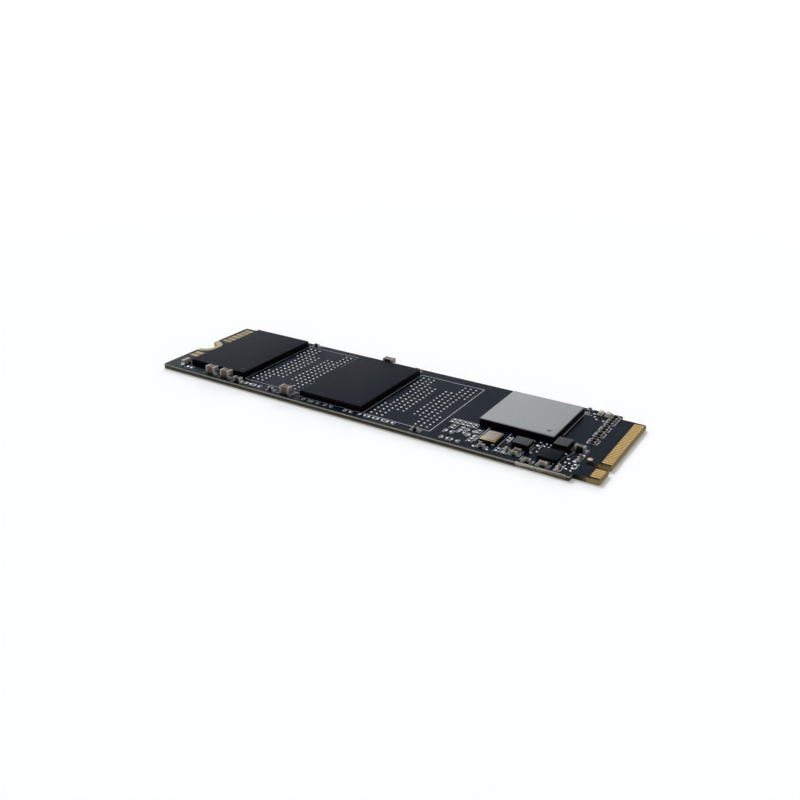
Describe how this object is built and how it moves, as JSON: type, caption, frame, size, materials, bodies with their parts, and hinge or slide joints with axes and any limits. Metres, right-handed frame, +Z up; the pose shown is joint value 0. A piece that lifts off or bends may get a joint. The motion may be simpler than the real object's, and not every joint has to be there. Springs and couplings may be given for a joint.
{
  "type": "solid-state drive card",
  "caption": "Flat keyed circuit card with memory packages, a lidded controller, power parts and bare package places; it plugs into an edge socket and a screw holds its far end.",
  "frame": {"origin": "on the underside, mid-length and mid-width", "axes": "+X along the card towards its contact edge, +Y across it, +Z up through the side with the parts"},
  "size_m": [0.08, 0.022, 0.0021],
  "materials": {
    "laminate": "satin dark solder mask over glass-epoxy laminate",
    "gold": "bright plated contacts",
    "pad_gold": "dull plated pads",
    "tin": "tinned pads and solder",
    "moulding": "fine matt moulding compound",
    "substrate": "dark package substrate",
    "lid": "satin plated lid",
    "dielectric": "brown fired ceramic",
    "chip_body": "dark fired ceramic",
    "end_cap": "tinned end caps",
    "inductor_core": "pressed charcoal grey powder",
    "crystal_ceramic": "black fired ceramic",
    "crystal_lid": "pale satin lid",
    "seal": "gold seal ring",
    "lamp_base": "pale lamp base",
    "lens": "cream diffusing lens"
  },
  "bodies": {
    "root": {"alignment_dot": "gold", "board": "laminate", "bulk_capacitor_1_ceramic": "dielectric", "bulk_capacitor_1_end_caps": "end_cap", "bulk_capacitor_2_ceramic": "dielectric", "bulk_capacitor_2_end_caps": "end_cap", "bulk_capacitor_3_ceramic": "dielectric", "bulk_capacitor_3_end_caps": "end_cap", "bulk_capacitor_4_ceramic": "dielectric", "bulk_capacitor_4_end_caps": "end_cap", "contact_fingers_bottom": "gold", "contact_fingers_top": "gold", "controller_lid": "lid", "controller_package": "substrate", "coupling_capacitors_ceramic": "chip_body", "coupling_capacitors_end_caps": "end_cap", "crystal_base": "crystal_ceramic", "crystal_lid": "crystal_lid", "crystal_seal_ring": "seal", "crystal_terminals": "tin", "empty_place_1_pads": "tin", "empty_place_2_pads": "tin", "end_pads": "pad_gold", "filter_capacitor_1_ceramic": "dielectric", "filter_capacitor_1_end_caps": "end_cap", "filter_capacitor_2_ceramic": "dielectric", "filter_capacitor_2_end_caps": "end_cap", "filter_capacitor_3_ceramic": "dielectric", "filter_capacitor_3_end_caps": "end_cap", "filter_capacitor_4_ceramic": "dielectric", "filter_capacitor_4_end_caps": "end_cap", "inductor_1_core": "inductor_core", "inductor_1_terminals": "tin", "inductor_2_core": "inductor_core", "inductor_2_terminals": "tin", "lamp_1_base": "lamp_base", "lamp_1_lens": "lens", "lamp_1_terminals": "tin", "lamp_2_base": "lamp_base", "lamp_2_lens": "lens", "lamp_2_terminals": "tin", "memory_package_1": "moulding", "memory_package_2": "moulding", "power_chip_leads": "tin", "power_chip_package": "moulding", "screw_pad": "pad_gold", "small_capacitors_ceramic": "dielectric", "small_capacitors_end_caps": "end_cap", "solder_toes": "tin", "spare_lands": "tin", "test_points": "tin"}
  },
  "joints": []
}
